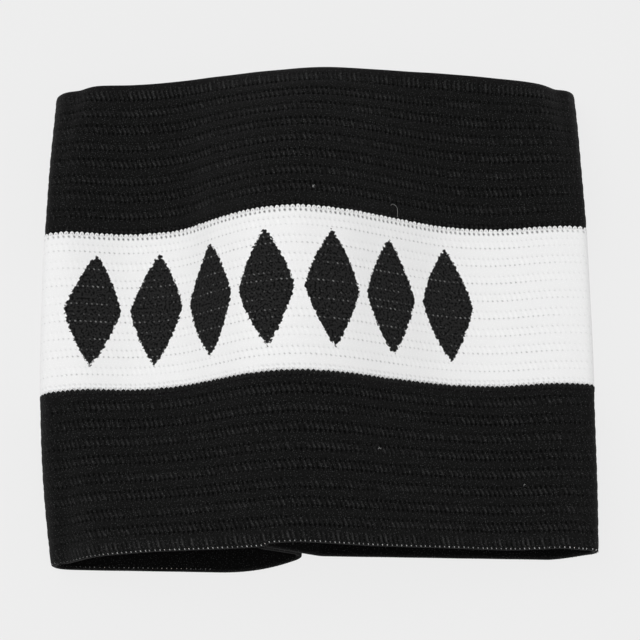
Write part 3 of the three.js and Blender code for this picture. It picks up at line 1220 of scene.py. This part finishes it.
@dataclass
class Armband:
    """The whole armband: three knitted stripes, the loops at their joins, the edge, the seam and the lint.

    Attributes:
        place: Shift from the section's own place to the frame, in millimetres.
        lower_meet: How far below the lower join the two stripes meet, under the loops.
    """

    knit: Knit = field(default_factory=Knit)
    place: tuple[float, float, float] = (0.5534, 1.6478, 0.0)
    lower_meet: float = 0.3
    upper_meet: float = 0.65
    # Painted shade on the black stripes' inner faces, inside the tube
    black_inner_shade: float = -0.25

    def build(self) -> None:
        """Make every piece."""
        knit = self.knit
        cloth = Cloth(TubeForm(knit), np.array(self.place))
        lower = KnittedStripe(
            cloth, "lower_stripe", "black_knit", 0.0, knit.lower_join, Edge.FREE, Edge.CLOSE, 3,
            high_meet=self.lower_meet, inner_shade=self.black_inner_shade,
        )
        centre = KnittedStripe(
            cloth, "centre_stripe", "white_knit", knit.lower_join, knit.upper_join, Edge.UNDER, Edge.OPEN, 5,
            low_meet=self.lower_meet, high_meet=self.upper_meet, relief=0.35, links=0.15, spread=0.0,
            pierced=0.72,
        )
        upper = KnittedStripe(
            cloth, "upper_stripe", "black_knit", knit.upper_join, knit.width, Edge.UNDER, Edge.FREE, 7,
            low_meet=self.upper_meet, inner_shade=self.black_inner_shade,
        )
        black, white = BLACK_KNIT.build(), WHITE_KNIT.build(PrintedRow())
        finishes = ((lower, black), (centre, white), (upper, black))
        sheets = [(stripe, stripe.build(finish)) for stripe, finish in finishes]
        teeth = JoinLoops(
            cloth, "lower_join_loops", "black_knit", knit.lower_join, LoopShape.POINTED, 11
        ).build(BLACK_YARN.build())
        scallops = JoinLoops(
            cloth, "upper_join_loops", "white_knit", knit.upper_join, LoopShape.ROUND, 13
        ).build(WHITE_YARN.build())
        selvage = LowerSelvage(cloth).build(SELVAGE_THREAD.build(), lower)
        seam = FlapSeam(cloth).build(SEAM_THREAD.build())
        fibres = LooseFibres(cloth).build(LINT.build())


@dataclass(frozen=True)
class AreaLamp:
    """A soft box aimed at the middle of the armband. Lengths are metres and power is watts."""

    name: str
    place: tuple[float, float, float]
    size: float
    power: float

    def build(self) -> None:
        """Set up the lamp."""
        lamp = bpy.data.lights.new(self.name, "AREA")
        lamp.shape, lamp.size, lamp.energy = "SQUARE", self.size, self.power
        holder = bpy.data.objects.new(self.name, lamp)
        holder.location = self.place
        holder.rotation_euler = (-Vector(self.place)).to_track_quat("-Z", "Y").to_euler()
        bpy.context.scene.collection.objects.link(holder)


@dataclass(frozen=True)
class Studio:
    """The pale floor, the soft lights and the camera.

    Attributes:
        tilt: Angle of the view from straight down.
        distance: Distance from the camera to its target, in millimetres.
        focal_pixels: Focal length in pixels of a picture that is image_pixels wide.
    """

    tilt: float = math.radians(17)
    distance: float = 575.0
    target: tuple[float, float, float] = (0.5534, -0.3022, 8.0)
    focal_pixels: float = 2800.0
    image_pixels: float = 640.0
    sensor: float = 36.0
    clip: tuple[float, float] = (0.01, 20.0)
    floor_side: float = 6.0
    world_colour: str = "#F4F4F4"
    world_strength: float = 0.58
    lamps: tuple[AreaLamp, ...] = (
        AreaLamp("key_soft_box", (-0.7, 0.3, 1.3), 1.0, 7.0),
        AreaLamp("right_fill", (0.9, -0.1, 0.35), 0.8, 0.55),
        AreaLamp("front_soft_box", (0.1, -0.55, 1.7), 1.2, 6.0),
    )

    def build(self) -> None:
        """Make the floor, the lights and the camera."""
        half = self.floor_side / 2
        mesh = bpy.data.meshes.new("floor")
        corners = [(-half, -half, 0), (half, -half, 0), (half, half, 0), (-half, half, 0)]
        mesh.from_pydata(corners, [], [(0, 1, 2, 3)])
        mesh.materials.append(LightBoard().build())
        floor = bpy.data.objects.new("floor", mesh)
        scene = bpy.context.scene
        scene.collection.objects.link(floor)
        for lamp in self.lamps:
            lamp.build()
        world = bpy.data.worlds.new("soft_studio")
        world.use_nodes = True
        background = next(n for n in world.node_tree.nodes if n.type == "BACKGROUND")
        background.inputs[0].default_value = linear(self.world_colour)
        background.inputs[1].default_value = self.world_strength
        scene.world = world
        scene.view_settings.view_transform = "Standard"
        lens = bpy.data.cameras.new("camera")
        lens.sensor_width, lens.lens = self.sensor, self.focal_pixels / self.image_pixels * self.sensor
        lens.clip_start, lens.clip_end = self.clip
        camera = bpy.data.objects.new("camera", lens)
        back = Vector((0, -math.sin(self.tilt), math.cos(self.tilt)))
        camera.location = (Vector(self.target) + back * self.distance) * MM
        camera.rotation_euler = (self.tilt, 0, 0)
        scene.collection.objects.link(camera)
        scene.camera = camera


def main() -> None:
    """Build the stage and the armband."""
    logging.basicConfig(level=logging.INFO, format="%(name)s %(message)s")
    Studio().build()
    Armband().build()


if __name__ == "__main__":
    main()
